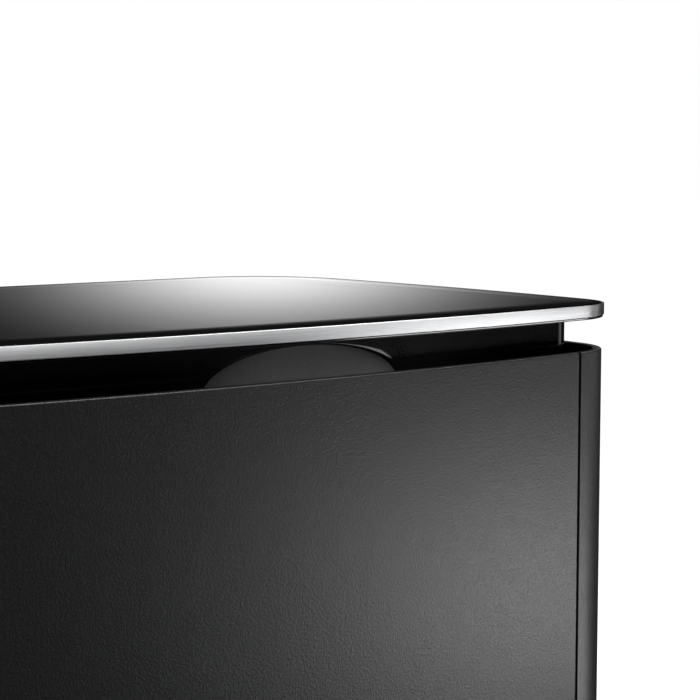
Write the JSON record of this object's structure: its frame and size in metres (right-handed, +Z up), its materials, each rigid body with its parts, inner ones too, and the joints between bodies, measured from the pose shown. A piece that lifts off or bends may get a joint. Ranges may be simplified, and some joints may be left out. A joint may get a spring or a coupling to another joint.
{
  "type": "trash compactor",
  "caption": "Free-standing pedal-driven trash compactor: bowed charcoal body, hinged black glass lid over sorting tubs, tilt-out hopper door, crush ram and bin drawer.",
  "frame": {"origin": "centre of the footprint, on the floor", "axes": "+Z up, -Y out of the front, +X to the side of the drive gears"},
  "size_m": [0.56, 0.431, 0.86],
  "materials": {
    "black_glass": "back-painted black glass, polished, with a ground edge",
    "brushed_aluminium": "brushed lengthwise, clear anodised",
    "gloss_black": "high gloss black",
    "grained_plastic": "fine moulded grain, satin charcoal",
    "liner_grey": "matt dark grey",
    "bin_grey": "matt mid grey, ribbed",
    "rubber": "moulded black rubber",
    "painted_steel": "powder coated charcoal",
    "zinc_steel": "zinc plated sheet and bar",
    "spring_steel": "oiled spring wire",
    "brass": "turned bearing bronze"
  },
  "bodies": {
    "cabinet": {"top_collar": "gloss_black", "lid_hinge_bracket_left": "zinc_steel", "lid_hinge_bracket_right": "zinc_steel", "side_shell_left": "grained_plastic", "side_shell_right": "grained_plastic", "rear_panel": "grained_plastic", "base_pan": "painted_steel", "foot_front_left": "rubber", "foot_front_right": "rubber", "foot_rear_left": "rubber", "foot_rear_right": "rubber", "kick_plate": "gloss_black", "side_frame_left": "painted_steel", "side_frame_right": "painted_steel", "deck": "painted_steel", "chamber_wall_left": "zinc_steel", "chamber_wall_right": "zinc_steel", "anvil_plate": "zinc_steel", "hopper_cover": "liner_grey", "tub_shelf": "painted_steel", "sorting_tub_left": "bin_grey", "sorting_tub_right": "bin_grey", "layshaft_bearing_left": "brass", "layshaft_bearing_right": "brass", "pedal_bearing_left": "brass", "pedal_bearing_right": "brass", "ram_rod_guide": "painted_steel", "rack_guide_lower": "brass", "rack_guide_upper": "brass", "spring_rod": "zinc_steel", "return_spring": "spring_steel", "drawer_runner_left": "zinc_steel", "drawer_runner_right": "zinc_steel", "door_hinge_pin_left": "zinc_steel", "door_hinge_pin_right": "zinc_steel"},
    "lid": {"lid_glass": "black_glass", "lid_band": "brushed_aluminium", "lid_tray": "gloss_black", "lid_seal": "rubber", "lid_hinge_leaf_left": "zinc_steel", "lid_hinge_leaf_right": "zinc_steel"},
    "door": {"door_panel": "grained_plastic", "door_liner": "liner_grey"},
    "drawer": {"drawer_panel": "grained_plastic", "drawer_liner": "gloss_black", "drawer_tray": "painted_steel", "slide_inner_left": "zinc_steel", "slide_inner_right": "zinc_steel", "bin": "bin_grey"},
    "pedal": {"pedal_lever": "brushed_aluminium", "pedal_tread": "rubber", "pedal_sector": "zinc_steel"},
    "lift_rack": {"lift_rack_bar": "zinc_steel"},
    "layshaft": {"layshaft_bar": "zinc_steel", "drive_pinion": "brass", "ram_pinion_left": "zinc_steel", "ram_pinion_right": "zinc_steel"},
    "ram": {"ram_plate": "painted_steel", "ram_rack_left": "zinc_steel", "ram_rack_right": "zinc_steel"}
  },
  "joints": [
    {"name": "lid_hinge", "type": "hinge", "parent": "cabinet", "child": "lid", "pos_m": [0, 0.206, 0.8418], "axis": [-1, 0, 0], "range_deg": [0, 85]},
    {"name": "door_hinge", "type": "hinge", "parent": "cabinet", "child": "door", "pos_m": [0, -0.189, 0.462], "axis": [1, 0, 0], "range_deg": [0, 40]},
    {"name": "drawer_slide", "type": "slide", "parent": "cabinet", "child": "drawer", "axis": [0, -1, 0], "range_m": [0, 0.28]},
    {"name": "pedal_hinge", "type": "hinge", "parent": "cabinet", "child": "pedal", "pos_m": [0, -0.016, 0.072], "axis": [1, 0, 0], "range_deg": [0, 22]},
    {"name": "lift_slide", "type": "slide", "parent": "cabinet", "child": "lift_rack", "axis": [0, 0, 1], "range_m": [0, 0.0455], "stiffness_N_per_m": 2900, "springref_m": -0.015, "deforming": ["return_spring"]},
    {"name": "layshaft_spin", "type": "hinge", "parent": "cabinet", "child": "layshaft", "pos_m": [0, 0.084, 0.5], "axis": [1, 0, 0], "range_deg": [0, 144.5]},
    {"name": "ram_slide", "type": "slide", "parent": "cabinet", "child": "ram", "axis": [0, -1, 0], "range_m": [0, 0.0908]}
  ],
  "couplings": [
    {"joint": "lift_slide", "follows": "pedal_hinge", "m_per_rad": 0.118},
    {"joint": "layshaft_spin", "follows": "pedal_hinge", "ratio": 6.5556},
    {"joint": "ram_slide", "follows": "pedal_hinge", "m_per_rad": 0.236}
  ]
}
